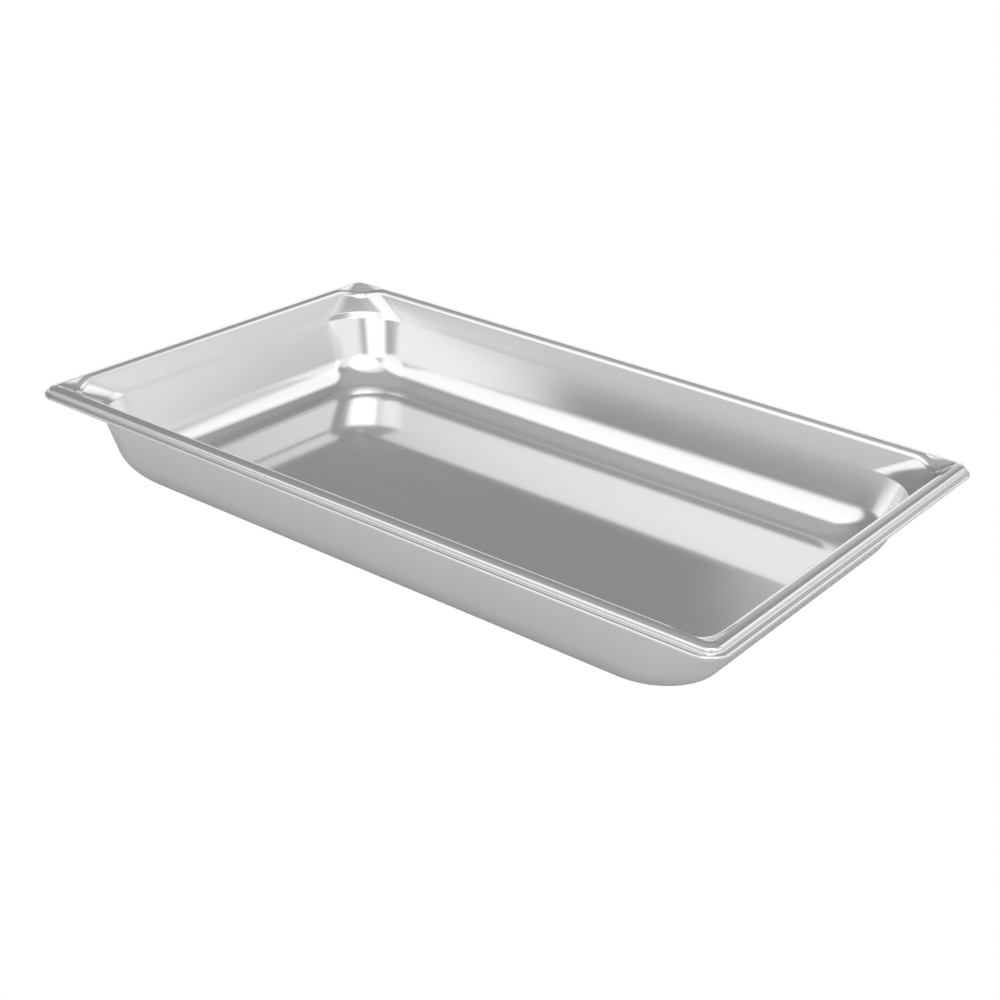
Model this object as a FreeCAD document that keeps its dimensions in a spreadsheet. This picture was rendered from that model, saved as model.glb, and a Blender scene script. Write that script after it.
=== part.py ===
import FreeCAD, Part
import math
import os

import Sketcher

# A full-size stainless steel food pan, pressed from one sheet: a deep well with sloping walls,
# a shoulder under the flange so that stacked pans don't jam, and a flange whose edge rolls
# over, steps down and flares into a stiff lip. X is the length, Y the width and +Z is up.
# The origin is the middle of the underside, where the pan stands.

SIZES = {
    "length": 530.0,            # over the lip
    "width": 325.0,             # over the lip
    "depth": 65.0,              # underside to the top of the flange
    "sheet": 0.8,               # thickness of the steel
    "lip_drop": 6.2,            # top of the flange to the lower edge of the lip
    "lip_step": 4.1,            # top of the flange to the top of the lip
    "lip_corner": 16.0,         # plan radius of the lip
    "lip_round": 1.4,           # rounding over the lip
    "bead_inset": 4.0,          # lip to the upright face of the rolled edge
    "bead_corner": 9.0,         # plan radius of the rolled edge
    "bead_round": 3.0,          # rounding of the rolled edge
    "step_round": 1.0,          # hollow between the rolled edge and the lip
    "mouth_inset": 13.1,        # lip to the mouth of the well
    "mouth_corner": 28.0,       # plan radius of the mouth
    "mouth_round": 3.0,         # rounding from the flange down into the well
    "shoulder_depth": 15.0,     # flange to the shoulder line
    "end_shoulder": 18.9,       # lip to an end wall at the shoulder line
    "side_shoulder": 17.2,      # lip to a long wall at the shoulder line
    "shoulder_corner": 40.0,    # plan radius at the shoulder line
    "shoulder_rise": 3.5,       # height of the shoulder itself
    "end_inset": 20.9,          # lip to an end wall just under the shoulder
    "side_inset": 18.2,         # lip to a long wall just under the shoulder
    "wall_corner": 44.0,        # plan radius just under the shoulder
    "end_draft": 21.0,          # slope of the two end walls, in degrees
    "side_draft": 15.0,         # slope of the two long walls, in degrees
    "floor_corner": 60.0,       # plan radius where wall and floor planes would meet
    "floor_round": 30.0,        # rounding between wall and floor, outside
}

CLOSE = 1.0         # how near an edge must be to the outline that is looked for

doc = FreeCAD.newDocument("food_pan")
sheet = doc.addObject("Spreadsheet::Sheet", "sizes")
for row, (alias, value) in enumerate(SIZES.items(), start=1):
    sheet.set(f"A{row}", alias)
    sheet.set(f"B{row}", str(value))
    sheet.setAlias(f"B{row}", alias)
doc.recompute()


def plane_of(body, role):
    """The body's own origin plane with this role."""
    return next(item for item in body.Origin.OriginFeatures if item.Role == role)


def cell_value(expression):
    """The number that an expression over the sheet's cells gives."""
    holder = doc.addObject("App::FeaturePython", "holder")
    holder.addProperty("App::PropertyFloat", "Value")
    holder.setExpression("Value", expression)
    holder.recompute()
    value = holder.Value
    doc.removeObject(holder.Name)
    return value


def outline(body, name, height, inset, corner, side_inset=None):
    """A sketch of the pan's rounded outline at a height above the floor.

    It is drawn in by inset all round, or by side_inset on the two long sides if that is given.
    """
    side_inset = side_inset or inset
    half_long = cell_value(f"sizes.length / 2 - ({inset})")
    half_wide = cell_value(f"sizes.width / 2 - ({side_inset})")
    long_side = (half_long, f"sizes.length - 2 * ({inset})")
    wide_side = (half_wide, f"sizes.width - 2 * ({side_inset})")
    return rounded_rectangle(body, name, height, long_side, wide_side, corner)


def rounded_rectangle(body, name, height, long_side, wide_side, corner):
    """A centred rounded rectangle: each side is its half size and its bound full size."""
    half_long, long_size = long_side
    half_wide, wide_size = wide_side
    radius = cell_value(corner)
    sketch = body.newObject("Sketcher::SketchObject", name)
    sketch.AttachmentSupport = [(plane_of(body, "XY_Plane"), "")]
    sketch.MapMode = "FlatFace"
    sketch.setExpression("AttachmentOffset.Base.z", height)
    flat_x = half_long - radius
    flat_y = half_wide - radius
    ends = [
        ((-flat_x, -half_wide), (flat_x, -half_wide)),
        ((half_long, -flat_y), (half_long, flat_y)),
        ((flat_x, half_wide), (-flat_x, half_wide)),
        ((-half_long, flat_y), (-half_long, -flat_y)),
    ]
    for start, end in ends:
        line = Part.LineSegment(FreeCAD.Vector(*start, 0), FreeCAD.Vector(*end, 0))
        sketch.addGeometry(line, False)
    centres = [(flat_x, -flat_y), (flat_x, flat_y), (-flat_x, flat_y), (-flat_x, -flat_y)]
    for quarter, centre in enumerate(centres):
        circle = Part.Circle(FreeCAD.Vector(*centre, 0), FreeCAD.Vector(0, 0, 1), radius)
        start = math.radians(90 * (quarter - 1))
        sketch.addGeometry(Part.ArcOfCircle(circle, start, start + math.pi / 2), False)
    tie = Sketcher.Constraint
    for side in range(4):
        arc = 4 + side
        sketch.addConstraint(tie("Tangent", side, 2, arc, 1))
        sketch.addConstraint(tie("Tangent", arc, 2, (side + 1) % 4, 1))
    sketch.addConstraint([tie("Horizontal", 0), tie("Horizontal", 2)])
    sketch.addConstraint([tie("Vertical", 1), tie("Vertical", 3)])
    sketch.addConstraint([tie("Equal", 4, arc) for arc in (5, 6, 7)])
    sketch.addConstraint(tie("Symmetric", 0, 1, 2, 1, -1, 1))
    bound = [
        (tie("DistanceX", 3, 1, 1, 1, 2 * half_long), long_size),
        (tie("DistanceY", 0, 1, 2, 1, 2 * half_wide), wide_size),
        (tie("Radius", 4, radius), corner),
    ]
    for constraint, expression in bound:
        index = sketch.addConstraint(constraint)
        sketch.setExpression(f"Constraints[{index}]", expression)
    return sketch


def pad(body, name, sketch, length):
    feature = body.newObject("PartDesign::Pad", name)
    feature.Profile = sketch
    feature.setExpression("Length", length)
    doc.recompute()
    return feature


def cut_mouth(body):
    """Open the flange over the well, cutting upwards from the foot of the lip."""
    before = body.Shape.Volume
    foot = "sizes.depth - sizes.lip_drop"
    mouth = outline(body, "mouth_outline", foot, "sizes.mouth_inset", "sizes.mouth_corner")
    feature = body.newObject("PartDesign::Pocket", "mouth")
    feature.Profile = mouth
    feature.Reversed = True
    feature.setExpression("Length", "sizes.lip_drop + 1")
    doc.recompute()
    if body.Shape.Volume >= before - 1.0:
        raise RuntimeError("the mouth cut nothing")


def off_outline(point, inset, corner):
    """How far a point is from the pan's rounded outline drawn in by inset, seen from above."""
    beyond_x = abs(point.x) - (SIZES["length"] / 2 - inset - corner)
    beyond_y = abs(point.y) - (SIZES["width"] / 2 - inset - corner)
    outside = math.hypot(max(beyond_x, 0.0), max(beyond_y, 0.0))
    return abs(outside + min(max(beyond_x, beyond_y), 0.0) - corner)


def level_edges(shape, height, inset, corner):
    """Names of the edges at a height that follow the outline drawn in by inset."""
    found = []
    for index, edge in enumerate(shape.Edges, start=1):
        box = edge.BoundBox
        level = abs(box.ZMin - height) < 0.02 and abs(box.ZMax - height) < 0.02
        middle = edge.valueAt((edge.FirstParameter + edge.LastParameter) / 2)
        if level and off_outline(middle, inset, corner) < CLOSE:
            found.append(f"Edge{index}")
    return found


def round_over(body, name, base, edges, radius):
    if len(edges) != 8:
        raise RuntimeError(f"{name} found {len(edges)} edges, not 8")
    feature = body.newObject("PartDesign::Fillet", name)
    feature.Base = (base, edges)
    feature.setExpression("Radius", radius)
    doc.recompute()
    return feature


def make_edge(name, skin):
    """The flange, rolled edge and lip as a solid block, drawn in and lowered by skin."""
    body = doc.addObject("PartDesign::Body", name)
    foot = "sizes.depth - sizes.lip_drop"
    thinner = cell_value(skin)
    top = SIZES["depth"] - thinner
    lip_top = SIZES["depth"] - SIZES["lip_step"] - thinner
    lip = outline(body, f"{name}_lip", foot, skin, f"sizes.lip_corner - ({skin})")
    pad(body, f"{name}_lip_block", lip, f"sizes.lip_drop - sizes.lip_step - ({skin})")
    bead = f"sizes.bead_inset + ({skin})"
    edge = outline(body, f"{name}_bead", foot, bead, f"sizes.bead_corner - ({skin})")
    block = pad(body, f"{name}_bead_block", edge, f"sizes.lip_drop - ({skin})")
    bead_inset = cell_value(bead)
    bead_corner = SIZES["bead_corner"] - thinner
    lip_corner = SIZES["lip_corner"] - thinner
    roundings = [
        ("rolled_edge", top, bead_inset, bead_corner, f"sizes.bead_round - ({skin})"),
        ("lip_edge", lip_top, thinner, lip_corner, f"sizes.lip_round - ({skin})"),
        ("step_hollow", lip_top, bead_inset, bead_corner, f"sizes.step_round + ({skin})"),
    ]
    for place, height, inset, corner, radius in roundings:
        edges = level_edges(block.Shape, height, inset, corner)
        block = round_over(body, f"{name}_{place}", block, edges, radius)
    return body


def make_well(name, skin):
    """The well as a solid block, with its wall drawn in by skin and its floor raised by it."""
    body = doc.addObject("PartDesign::Body", name)
    shoulder = "sizes.depth - sizes.shoulder_depth"
    under_shoulder = f"{shoulder} - sizes.shoulder_rise"
    drawn_in = f"- sizes.sheet + ({skin})"
    fall = f"({under_shoulder} - ({skin}))"
    floor_end = f"sizes.end_inset + {fall} * tan(sizes.end_draft * 1 deg)"
    floor_side = f"sizes.side_inset + {fall} * tan(sizes.side_draft * 1 deg)"
    sections = [
        ("mouth", "sizes.depth", "sizes.mouth_inset", "sizes.mouth_inset", "sizes.mouth_corner"),
        ("shoulder_line", shoulder, "sizes.end_shoulder", "sizes.side_shoulder",
         "sizes.shoulder_corner"),
        ("wall_top", under_shoulder, "sizes.end_inset", "sizes.side_inset",
         "sizes.wall_corner"),
        ("floor", skin, floor_end, floor_side, "sizes.floor_corner"),
    ]
    sketches = []
    for place, height, end_inset, side_inset, corner in sections:
        sketches.append(outline(body, f"{name}_{place}", height, f"{end_inset} {drawn_in}",
                                f"{corner} + sizes.sheet - ({skin})",
                                f"{side_inset} {drawn_in}"))
    loft = body.newObject("PartDesign::AdditiveLoft", f"{name}_walls")
    loft.Profile = sketches[0]
    loft.Sections = sketches[1:]
    loft.Ruled = True
    doc.recompute()
    floor_z = cell_value(skin)
    edges = []
    for index, edge in enumerate(loft.Shape.Edges, start=1):
        if abs(edge.BoundBox.ZMax - floor_z) < 0.02:
            edges.append(f"Edge{index}")
    round_over(body, f"{name}_floor_round", loft, edges, f"sizes.floor_round - ({skin})")
    return body


def combine(kind, name, base, tool):
    feature = doc.addObject(kind, name)
    feature.Base = base
    feature.Tool = tool
    doc.recompute()
    return feature


def soften(name, base, height, inset, corner, radius):
    """Round the edge between the flange and the well at a height."""
    names = level_edges(base.Shape, height, inset, corner)
    if len(names) < 8:
        raise RuntimeError(f"{name} found {len(names)} edges, fewer than 8")
    feature = doc.addObject("Part::Fillet", name)
    feature.Base = base
    feature.Edges = [(int(edge[4:]), radius, radius) for edge in names]
    doc.recompute()
    return feature


edge_outside = make_edge("edge_outside", "0")
cut_mouth(edge_outside)
edge_inside = make_edge("edge_inside", "sizes.sheet")
rim = combine("Part::Cut", "rim", edge_outside, edge_inside)
outside = make_well("well_outside", "0")
inside = make_well("well_inside", "sizes.sheet")
shell = combine("Part::Cut", "well", outside, inside)
joined = combine("Part::Fuse", "rim_and_well", rim, shell)
joined.Refine = True
doc.recompute()
top = SIZES["depth"]
thin = SIZES["sheet"]
mouth = SIZES["mouth_inset"]
corner = SIZES["mouth_corner"]
bend = SIZES["mouth_round"]
under = soften("under_mouth", joined, top - thin, mouth - thin, corner + thin, bend + thin)
pan = soften("pan", under, top, mouth, corner, bend)
pan.Label = "pan"
pan.Placement = FreeCAD.Placement()
doc.recompute()

for item in doc.Objects:
    if "Invalid" in item.State or "Error" in item.State:
        raise RuntimeError(f"{item.Name} is {item.State}")

os.makedirs("parts", exist_ok=True)
for piece in [pan]:
    shape = piece.Shape
    if shape.isNull() or not shape.isValid() or len(shape.Solids) != 1:
        raise RuntimeError(f"{piece.Label} is not one sound solid")
    shape.exportStep(f"parts/{piece.Label}.step")
    box = shape.BoundBox
    print(piece.Label, round(shape.Volume), box)
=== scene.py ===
import math

import bpy
from mathutils import Matrix, Vector


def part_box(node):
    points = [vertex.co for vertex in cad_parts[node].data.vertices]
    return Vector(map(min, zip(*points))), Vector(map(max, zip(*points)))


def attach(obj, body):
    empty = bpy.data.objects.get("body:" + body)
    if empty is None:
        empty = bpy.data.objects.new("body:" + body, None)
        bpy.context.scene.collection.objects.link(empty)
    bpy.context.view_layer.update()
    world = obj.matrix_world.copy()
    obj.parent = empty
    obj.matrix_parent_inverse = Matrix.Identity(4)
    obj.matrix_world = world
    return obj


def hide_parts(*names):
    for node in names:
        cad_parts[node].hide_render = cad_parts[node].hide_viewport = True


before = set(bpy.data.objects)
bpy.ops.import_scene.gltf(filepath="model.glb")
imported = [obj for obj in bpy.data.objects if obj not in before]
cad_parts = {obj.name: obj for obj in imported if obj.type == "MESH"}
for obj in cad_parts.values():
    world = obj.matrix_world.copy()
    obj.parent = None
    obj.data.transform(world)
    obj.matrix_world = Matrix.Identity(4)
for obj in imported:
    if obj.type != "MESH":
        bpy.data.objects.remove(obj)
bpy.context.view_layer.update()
low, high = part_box("pan")

MM = 0.001
LENGTH = high.x - low.x
WIDTH = high.y - low.y
DEPTH = high.z - low.z

# ---------------------------------------------------------------------------------------------
# Sizes of the sheet's section, in millimetres. Insets are measured in from the lip's outer edge
# and drops are measured down from the top of the flange. A pair is (end walls, long walls).
# ---------------------------------------------------------------------------------------------
SHEET = 0.8
LIP_DROP = 6.2
LIP_TOP = 4.1
LIP_CORNER = 16.0
LIP_ROUND = 1.4
BEAD_INSET = 4.0
BEAD_CORNER = 9.0
BEAD_ROUND = 2.2
BEAD_SHOULDER = 1.2
STEP_ROUND = 1.0
CROWN_INSET = 8.2
CROWN_ROUND = 14.0
CROWN_CORNER = 6.0
MOUTH_INSET = 13.1
MOUTH_CORNER = 26.0
MOUTH_ROUND = 5.0
LINE_DROP = 15.0
LINE_INSET = (18.9, 17.2)
LINE_CORNER = 40.0
LINE_ROUND = 0.8
LEDGE_DROP = 18.5
LEDGE_INSET = (20.9, 18.2)
LEDGE_CORNER = 44.0
LEDGE_ROUND = 5.0
DRAFT = (21.0, 15.0)
FLOOR_ROUND = 29.0
FLOOR_CORNER = 38.0
FLAT_START = 30.0
CORNER_DROP = 4.0

END_WALL = 0
SIDE_WALL = 1

END_STEPS = 10
CORNER_STEPS = 40
SIDE_STEPS = 14
EDGE_STEPS = 6
FLOOR_PLACES = (0.0, 0.3, 0.6, 0.85)

# ---------------------------------------------------------------------------------------------
# Camera, in degrees, metres and millimetres of lens
# ---------------------------------------------------------------------------------------------
CAMERA_TURN = 36.15
CAMERA_RISE = 25.44
CAMERA_ROLL = 2.87
CAMERA_AWAY = 1.19197
CAMERA_TARGET = Vector((-0.00883, 0.01934, 0.0))
CAMERA_LENS = 63.086

# ---------------------------------------------------------------------------------------------
# Studio. A box is turn, rise, inner spread, outer spread, all in degrees, and strength
# ---------------------------------------------------------------------------------------------
FLOOR_SHADE = 0.76
ROOM_BASE = 0.33
HORIZON_RISE = (0.05, 0.16)
HORIZON_GLOW = 0.65
ROOM_BOXES = (
    (-115.0, 38.0, 20.0, 32.0, 0.95),
    (-64.0, 22.0, 14.0, 24.0, 1.2),
    (-45.0, 68.0, 14.0, 26.0, 0.6),
    (2.0, 24.0, 24.0, 38.0, 0.75),
    (90.0, 90.0, 25.0, 52.0, 0.2),
    (-28.0, 55.0, 20.0, 28.0, 0.9),
    (66.0, 35.0, 9.0, 20.0, 0.9),
    (124.0, -30.0, 51.5, 54.3, 0.6),
    (108.0, 27.0, 6.0, 10.0, 0.3),
    (47.0, 8.0, 14.0, 28.0, 0.45),
)


class Value:
    """What comes out of a node. Sums on it add Math nodes to its tree."""

    def __init__(self, graph, socket):
        self.graph = graph
        self.socket = socket

    def maths(self, operation, *others):
        inputs = dict(enumerate((self, *others)))
        return self.graph.node("ShaderNodeMath", {"operation": operation}, inputs)

    def flipped(self, operation, other):
        return self.graph.node("ShaderNodeMath", {"operation": operation}, {0: other, 1: self})

    def __add__(self, other):
        return self.maths("ADD", other)

    def __radd__(self, other):
        return self.flipped("ADD", other)

    def __sub__(self, other):
        return self.maths("SUBTRACT", other)

    def __rsub__(self, other):
        return self.flipped("SUBTRACT", other)

    def __mul__(self, other):
        return self.maths("MULTIPLY", other)

    def __rmul__(self, other):
        return self.flipped("MULTIPLY", other)

    def __truediv__(self, other):
        return self.maths("DIVIDE", other)

    def __pow__(self, other):
        return self.maths("POWER", other)

    def smooth_between(self, low_end, high_end):
        """0 below low_end and 1 above high_end, with a soft change between."""
        settings = {"interpolation_type": "SMOOTHSTEP"}
        inputs = {"Value": self, "From Min": low_end, "From Max": high_end}
        return self.graph.node("ShaderNodeMapRange", settings, inputs)


class Graph:
    """A node tree that is written as expressions."""

    def __init__(self, tree):
        self.tree = tree

    def node(self, kind, settings=None, inputs=None, output=0):
        """Make a node, set it up, fill or link its inputs, and return one of its outputs."""
        made = self.tree.nodes.new(kind)
        for name, value in (settings or {}).items():
            if name == "stops":
                self.fill_ramp(made.color_ramp, value)
            else:
                setattr(made, name, value)
        for key, value in (inputs or {}).items():
            if isinstance(value, Value):
                self.tree.links.new(value.socket, made.inputs[key])
            else:
                made.inputs[key].default_value = value
        return Value(self, made.outputs[output])

    @staticmethod
    def fill_ramp(ramp, stops):
        while len(ramp.elements) < len(stops):
            ramp.elements.new(0.5)
        for element, (place, colour) in zip(ramp.elements, stops):
            element.position = place
            element.color = (*colour, 1.0)

    def split(self, vector):
        """The three parts of a vector."""
        whole = self.node("ShaderNodeSeparateXYZ", None, {0: vector})
        return [Value(self, socket) for socket in whole.socket.node.outputs]

    def vector(self, x, y, z):
        return self.node("ShaderNodeCombineXYZ", None, {0: x, 1: y, 2: z})


# ---------------------------------------------------------------------------------------------
# Camera
# ---------------------------------------------------------------------------------------------

def make_camera():
    turn, rise, roll = (math.radians(a) for a in (CAMERA_TURN, CAMERA_RISE, CAMERA_ROLL))
    back = Vector((math.sin(turn) * math.cos(rise), -math.cos(turn) * math.cos(rise),
                   math.sin(rise)))
    level = Vector((math.cos(turn), math.sin(turn), 0))
    upright = back.cross(level)
    right = math.cos(roll) * level + math.sin(roll) * upright
    up = math.cos(roll) * upright - math.sin(roll) * level
    data = bpy.data.cameras.new("camera")
    data.lens = CAMERA_LENS
    data.sensor_width = 36
    camera = bpy.data.objects.new("camera", data)
    bpy.context.scene.collection.objects.link(camera)
    turned = Matrix((right, up, back)).transposed().to_4x4()
    camera.matrix_world = Matrix.Translation(CAMERA_TARGET + back * CAMERA_AWAY) @ turned
    bpy.context.scene.camera = camera


# ---------------------------------------------------------------------------------------------
# The sheet's section
# ---------------------------------------------------------------------------------------------
def section_corners(wall):
    """The section's corners from lip to floor: inset, height, rounding, arc steps, plan radius."""
    top = DEPTH / MM
    line = LINE_INSET[wall]
    ledge = LEDGE_INSET[wall]
    wall_top = top - LEDGE_DROP
    floor = ledge + (wall_top - SHEET) * math.tan(math.radians(DRAFT[wall]))
    return [
        (0.0, top - LIP_DROP + SHEET / 2, 0.0, 0, LIP_CORNER),
        (0.0, top - LIP_TOP, LIP_ROUND, 8, LIP_CORNER),
        (BEAD_INSET, top - LIP_TOP + 0.2, STEP_ROUND, 7, BEAD_CORNER),
        (BEAD_INSET, top - BEAD_SHOULDER, BEAD_ROUND, 9, BEAD_CORNER),
        (CROWN_INSET, top, CROWN_ROUND, 8, CROWN_CORNER),
        (MOUTH_INSET, top, MOUTH_ROUND, 14, MOUTH_CORNER),
        (line, top - LINE_DROP, LINE_ROUND, 5, LINE_CORNER),
        (ledge, wall_top, LEDGE_ROUND, 10, LEDGE_CORNER),
        (floor, SHEET, FLOOR_ROUND, 30, FLOOR_CORNER),
        (floor + FLAT_START, SHEET, 0.0, 0, FLOOR_CORNER),
    ]


STRAIGHT_PLACES = (0.03, 0.2, 0.5, 0.8, 0.97)


def round_corner(before, here, after):
    """Places and upward normals round one corner of the section."""
    corner = Vector(here[:2])
    rounding, steps = here[2], here[3]
    come = (corner - Vector(before[:2])).normalized()
    leave = (Vector(after[:2]) - corner).normalized()
    turn = math.atan2(come.x * leave.y - come.y * leave.x, come.dot(leave))
    start = corner - come * rounding * math.tan(abs(turn) / 2)
    inward = Vector((-come.y, come.x)) * math.copysign(rounding, turn)
    centre = start + inward
    made = []
    for step in range(steps + 1):
        turned = Matrix.Rotation(turn * step / steps, 2)
        way = turned @ come
        made.append((centre - turned @ inward, Vector((-way.y, way.x))))
    return made


def upper_skin(wall):
    """Stations of the upper skin from lip to floor: place, upward normal, plan radius, droop.

    Droop is the share of the corner drop that the flange's corners take at the station.
    """
    corners = section_corners(wall)
    stations = [(Vector(corners[0][:2]), Vector((-1.0, 0.0)), corners[0][4], 0.0)]
    for before, here, after in zip(corners, corners[1:], corners[2:]):
        arc = round_corner(before, here, after)
        start_place, start_normal = arc[0]
        last_place, _, last_radius, last_droop = stations[-1]
        follows = 0.1 if here[2] == FLOOR_ROUND else 1.0
        start_radius = here[4] + follows * (here[0] - start_place.x)
        droop = 1.0 if here[0] == MOUTH_INSET else 0.0
        for share in STRAIGHT_PLACES:
            radius = last_radius + (start_radius - last_radius) * share
            part = last_droop + (droop - last_droop) * share
            stations.append((last_place.lerp(start_place, share), start_normal, radius, part))
        for place, normal in arc:
            radius = here[4] + follows * (here[0] - place.x)
            stations.append((place, normal, radius, droop))
    return stations


def shell_stations(wall):
    """Stations of the closed sheet: lower skin from floor to lip, cut edge, then upper skin."""
    upper = upper_skin(wall)
    made = []
    for place, normal, radius, droop in reversed(upper):
        made.append((place - normal * SHEET, radius - SHEET * normal.x, droop, 1.0, 0.0))
    for step in range(1, EDGE_STEPS):
        angle = math.pi * step / EDGE_STEPS
        spoke = Vector((math.cos(angle), -math.sin(angle))) * SHEET / 2
        place = upper[0][0] + Vector((SHEET / 2, 0)) + spoke
        made.append((place, LIP_CORNER - place.x, 0.0, 1.0, 0.0))
    for place, _, radius, droop in upper:
        made.append((place, radius, droop, 0.0, 0.0))
    below, above = made[0], made[-1]
    start = [(*below[:4], 1.0 - share) for share in FLOOR_PLACES]
    finish = [(*above[:4], 1.0 - share) for share in reversed(FLOOR_PLACES)]
    return start + made + finish


# What each point of the section carries.
SECTION_NUMBERS = ("end_inset", "side_inset", "end_height", "side_height", "corner_radius", "droop",
                   "under_skin", "floor_pull", "down_section")


def make_section():
    """A line of points that carry the section's numbers, in metres."""
    at_end = shell_stations(END_WALL)
    at_side = shell_stations(SIDE_WALL)
    mesh = bpy.data.meshes.new("section")
    mesh.from_pydata([(0, 0, 0)] * len(at_end), [], [])
    down = 0.0
    last = at_side[0][0]
    numbers = {name: [] for name in SECTION_NUMBERS}
    for end, side in zip(at_end, at_side):
        down += (side[0] - last).length
        last = side[0]
        numbers["end_inset"].append(end[0].x * MM)
        numbers["side_inset"].append(side[0].x * MM)
        numbers["end_height"].append(end[0].y * MM)
        numbers["side_height"].append(side[0].y * MM)
        numbers["corner_radius"].append(side[1] * MM)
        numbers["droop"].append(side[2])
        numbers["under_skin"].append(side[3])
        numbers["floor_pull"].append(side[4])
        numbers["down_section"].append(down * MM)
    for name, values in numbers.items():
        mesh.attributes.new(name, "FLOAT", "POINT").data.foreach_set("value", values)
    section = bpy.data.objects.new("section", mesh)
    bpy.context.scene.collection.objects.link(section)
    return section, len(at_end)


# ---------------------------------------------------------------------------------------------
# The pan: the section swept round a rounded rectangle
# ---------------------------------------------------------------------------------------------
def sweep_tree():
    tree = bpy.data.node_groups.new("pan_sweep", "GeometryNodeTree")
    face = tree.interface
    face.new_socket("Section", in_out="INPUT", socket_type="NodeSocketGeometry")
    for name, kind in (("Stations", "Int"), ("End steps", "Int"), ("Corner steps", "Int"),
                       ("Side steps", "Int"), ("Length", "Float"), ("Width", "Float"),
                       ("Corner drop", "Float"), ("Material", "Material")):
        face.new_socket(name, in_out="INPUT", socket_type="NodeSocket" + kind)
    face.new_socket("Pan", in_out="OUTPUT", socket_type="NodeSocketGeometry")
    graph = Graph(tree)
    group_in = tree.nodes.new("NodeGroupInput")
    given = {socket.name: Value(graph, socket) for socket in group_in.outputs if socket.name}
    per = given["End steps"] + given["Corner steps"] + given["Side steps"]
    around = per * 4 + 1
    grid = graph.node("GeometryNodeMeshGrid", None,
                      {"Vertices X": given["Stations"], "Vertices Y": around})
    index = graph.node("GeometryNodeInputIndex")
    station = (index / around).maths("FLOOR")
    turn = index - station * around
    quarter = (turn / per).maths("FLOOR").maths("MINIMUM", 3.0)
    walked = turn - quarter * per
    odd = quarter.maths("MODULO", 2.0)
    walked = walked + odd * (per - walked * 2)
    on_end = (walked / given["End steps"]).maths("MINIMUM", 1.0)
    past_end = walked - given["End steps"]
    on_corner = (past_end / given["Corner steps"]).maths("MINIMUM", 1.0).maths("MAXIMUM", 0.0)
    past_corner = past_end - given["Corner steps"]
    on_side = (past_corner / given["Side steps"]).maths("MAXIMUM", 0.0)
    angle = on_corner * (math.pi / 2)
    along_x = angle.maths("COSINE")
    along_y = angle.maths("SINE")

    def sampled(name):
        number = graph.node("GeometryNodeInputNamedAttribute", {"data_type": "FLOAT"},
                            {"Name": name})
        return graph.node("GeometryNodeSampleIndex", {"data_type": "FLOAT", "domain": "POINT"},
                          {"Geometry": given["Section"], "Value": number, "Index": station})

    numbers = {name: sampled(name) for name in SECTION_NUMBERS}
    radius = numbers["corner_radius"]
    half_x = given["Length"] * 0.5 - numbers["end_inset"]
    half_y = given["Width"] * 0.5 - numbers["side_inset"]
    keep = 1.0 - numbers["floor_pull"]
    x = ((half_x - radius) * (1.0 - on_side) + radius * along_x) * keep
    y = ((half_y - radius) * on_end + radius * along_y) * keep
    endness = along_x * along_x
    height = numbers["side_height"]
    height = height + (numbers["end_height"] - height) * endness
    height = height - given["Corner drop"] * numbers["droop"] * (along_x * along_y * 2.0) ** 2.0
    left_half = (quarter - 1.5).maths("ABSOLUTE").maths("LESS_THAN", 1.0)
    front_half = quarter.maths("GREATER_THAN", 1.5)
    x_side = 1.0 - left_half * 2.0
    y_side = 1.0 - front_half * 2.0
    place = graph.vector(x * x_side, y * y_side, height)
    shaped = graph.node("GeometryNodeSetPosition", None, {"Geometry": grid, "Position": place})
    for name, value in (("round_rim", x * along_y + y * along_x),
                        ("down_section", numbers["down_section"]),
                        ("under_skin", numbers["under_skin"])):
        shaped = graph.node("GeometryNodeStoreNamedAttribute",
                            {"data_type": "FLOAT", "domain": "POINT"},
                            {"Geometry": shaped, "Name": name, "Value": value})
    merged = graph.node("GeometryNodeMergeByDistance", None,
                        {"Geometry": shaped, "Distance": 0.000001})
    smooth = graph.node("GeometryNodeSetShadeSmooth", None,
                        {"Geometry": merged, "Shade Smooth": True})
    real = graph.node("GeometryNodeRealizeInstances", None, {"Geometry": smooth})
    coated = graph.node("GeometryNodeSetMaterial", None,
                        {"Geometry": real, "Material": given["Material"]})
    group_out = tree.nodes.new("NodeGroupOutput")
    tree.links.new(coated.socket, group_out.inputs["Pan"])
    return tree


def make_pan(material):
    section, stations = make_section()
    modifier = section.modifiers.new("sweep", "NODES")
    modifier.node_group = sweep_tree()
    values = {"Stations": stations, "End steps": END_STEPS, "Corner steps": CORNER_STEPS,
              "Side steps": SIDE_STEPS, "Length": LENGTH, "Width": WIDTH,
              "Corner drop": CORNER_DROP * MM, "Material": material}
    for item in modifier.node_group.interface.items_tree:
        if item.in_out == "INPUT" and item.name in values:
            modifier[item.identifier] = values[item.name]
    evaluated = section.evaluated_get(bpy.context.evaluated_depsgraph_get())
    mesh = bpy.data.meshes.new_from_object(evaluated)
    mesh.name = "pan_shell"
    bpy.data.objects.remove(section)
    pan = bpy.data.objects.new("pan_shell", mesh)
    bpy.context.scene.collection.objects.link(pan)
    return pan


# ---------------------------------------------------------------------------------------------
# Materials
# ---------------------------------------------------------------------------------------------
def new_material(name):
    material = bpy.data.materials.new(name)
    material.use_nodes = True
    tree = material.node_tree
    tree.nodes.clear()
    graph = Graph(tree)
    shader = tree.nodes.new("ShaderNodeBsdfPrincipled")
    output = tree.nodes.new("ShaderNodeOutputMaterial")
    tree.links.new(shader.outputs[0], output.inputs[0])
    return material, graph, shader


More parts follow.
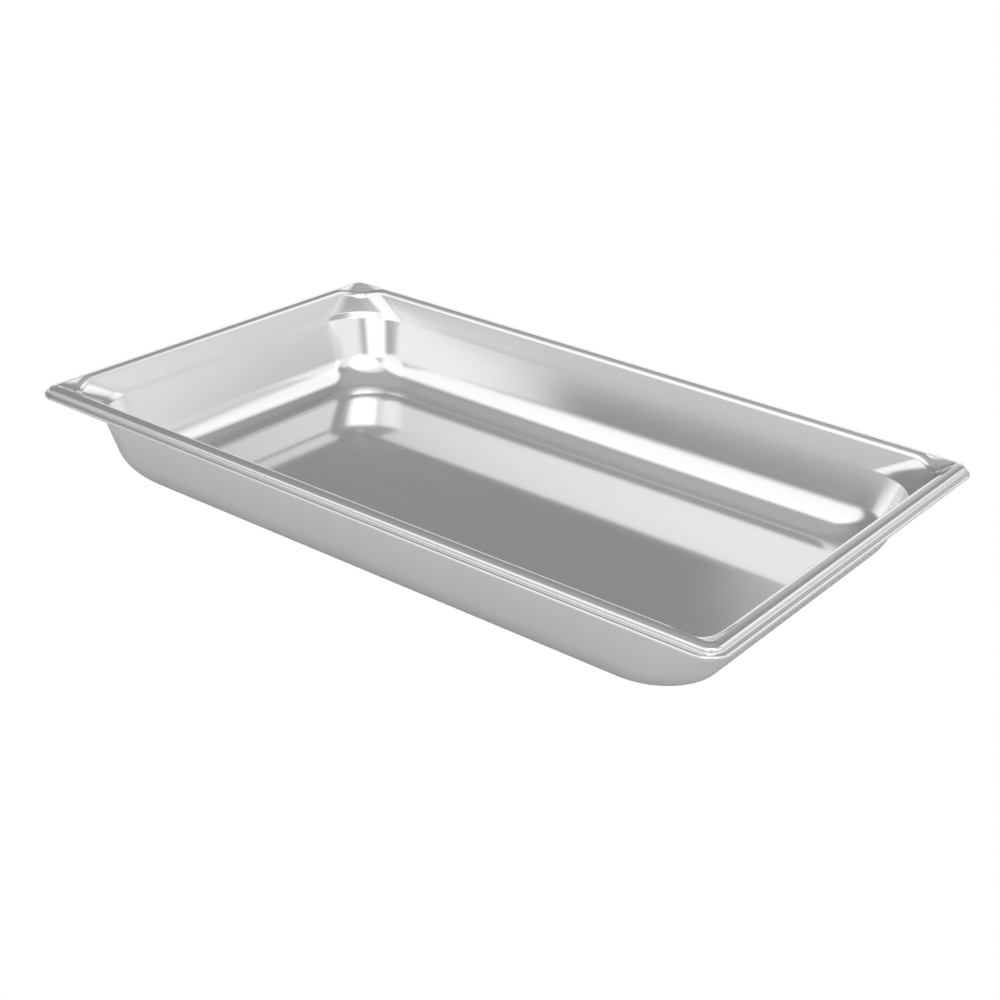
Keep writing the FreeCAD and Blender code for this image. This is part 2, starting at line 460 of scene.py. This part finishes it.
def steel_material():
    material, graph, shader = new_material("stainless_steel")
    shader.inputs["Metallic"].default_value = 1.0
    place = graph.node("ShaderNodeTexCoord", None, None, "Object")
    x, y, z = graph.split(place)

    def stored(name):
        return graph.node("ShaderNodeAttribute", {"attribute_name": name}, None, "Fac")

    round_rim = stored("round_rim")
    down = stored("down_section")
    under = stored("under_skin")
    brushing = graph.vector(round_rim * 6.0 + x * 1.3, down * 900.0, y * 1.1)
    lines = graph.node("ShaderNodeTexNoise", {"noise_dimensions": "3D"},
                       {"Vector": brushing, "Scale": 1.0, "Detail": 3.0, "Roughness": 0.6})
    waves = graph.node("ShaderNodeTexNoise", None,
                       {"Vector": place, "Scale": 9.0, "Detail": 1.0, "Roughness": 0.4})
    rolling = graph.node("ShaderNodeTexNoise", None,
                         {"Vector": graph.vector(x * 8.0, y * 900.0, z * 900.0), "Scale": 1.0,
                          "Detail": 2.0, "Roughness": 0.6})
    cloud = graph.node("ShaderNodeTexNoise", None,
                       {"Vector": place, "Scale": 26.0, "Detail": 4.0, "Roughness": 0.6})
    on_floor = (1.0 - z.smooth_between(0.004, 0.022)) * (1.0 - under)
    upper = z.smooth_between(0.006, 0.024)
    grain = lines * upper + rolling * (1.0 - upper)
    rough = 0.20 - on_floor * 0.12 + under * 0.14 + (cloud - 0.5) * 0.04 + (grain - 0.5) * 0.06
    graph.tree.links.new(rough.socket, shader.inputs["Roughness"])
    tone = (0.5 + (cloud - 0.5) * 0.5 + (grain - 0.5) * 0.3)
    colour = graph.node("ShaderNodeMix", {"data_type": "RGBA"},
                        {0: tone, 6: (0.74, 0.74, 0.74, 1.0), 7: (0.80, 0.795, 0.79, 1.0)}, 2)
    graph.tree.links.new(colour.socket, shader.inputs["Base Color"])
    height = grain * 0.0000015 + waves * 0.00022 * (1.0 - on_floor * 0.7)
    bump = graph.node("ShaderNodeBump", None,
                      {"Height": height, "Distance": 1.0, "Strength": 1.0})
    graph.tree.links.new(bump.socket, shader.inputs["Normal"])
    return material


def floor_material():
    material, graph, shader = new_material("pale_floor")
    shader.inputs["Base Color"].default_value = (*(FLOOR_SHADE,) * 3, 1.0)
    shader.inputs["Roughness"].default_value = 0.9
    shader.inputs["Specular IOR Level"].default_value = 0.0
    seen = graph.node("ShaderNodeLightPath", None, None, "Is Camera Ray")
    glow = graph.node("ShaderNodeEmission", None, {"Color": (1, 1, 1, 1), "Strength": 1.0})
    mixed = graph.node("ShaderNodeMixShader", None,
                       {0: seen, 1: Value(graph, shader.outputs[0]), 2: glow})
    output = next(n for n in graph.tree.nodes if n.type == "OUTPUT_MATERIAL")
    graph.tree.links.new(mixed.socket, output.inputs[0])
    return material


def make_floor():
    mesh = bpy.data.meshes.new("floor")
    reach = 8.0
    corners = [(-reach, -reach, 0), (reach, -reach, 0), (reach, reach, 0), (-reach, reach, 0)]
    mesh.from_pydata(corners, [], [(0, 1, 2, 3)])
    mesh.materials.append(floor_material())
    floor = bpy.data.objects.new("floor", mesh)
    floor.location.z = low.z - 0.0002
    bpy.context.scene.collection.objects.link(floor)


# ---------------------------------------------------------------------------------------------
# Light
# ---------------------------------------------------------------------------------------------
def make_room():
    """A pale studio: a level base with soft bright boxes, each a direction, a spread and a strength."""
    world = bpy.data.worlds.new("studio")
    bpy.context.scene.world = world
    world.use_nodes = True
    world.node_tree.nodes.clear()
    graph = Graph(world.node_tree)
    way = graph.node("ShaderNodeTexCoord", None, None, "Generated")
    _, _, upward = graph.split(way)
    total = (1.0 - upward.smooth_between(*HORIZON_RISE)) * HORIZON_GLOW + ROOM_BASE
    for turn, rise, inner, outer, strength in ROOM_BOXES:
        turn, rise = math.radians(turn), math.radians(rise)
        aim = (math.cos(turn) * math.cos(rise), math.sin(turn) * math.cos(rise), math.sin(rise))
        towards = graph.node("ShaderNodeVectorMath", {"operation": "DOT_PRODUCT"},
                             {0: way, 1: aim}, 1)
        share = towards.smooth_between(math.cos(math.radians(outer)),
                                       math.cos(math.radians(inner)))
        total = total + share * strength
    back = graph.node("ShaderNodeBackground", None, {"Color": (1, 1, 1, 1), "Strength": total})
    output = world.node_tree.nodes.new("ShaderNodeOutputWorld")
    world.node_tree.links.new(back.socket, output.inputs[0])


make_camera()
steel = steel_material()
pan = make_pan(steel)
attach(pan, "root")
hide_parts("pan")
make_floor()
make_room()
bpy.context.scene.view_settings.view_transform = "Standard"
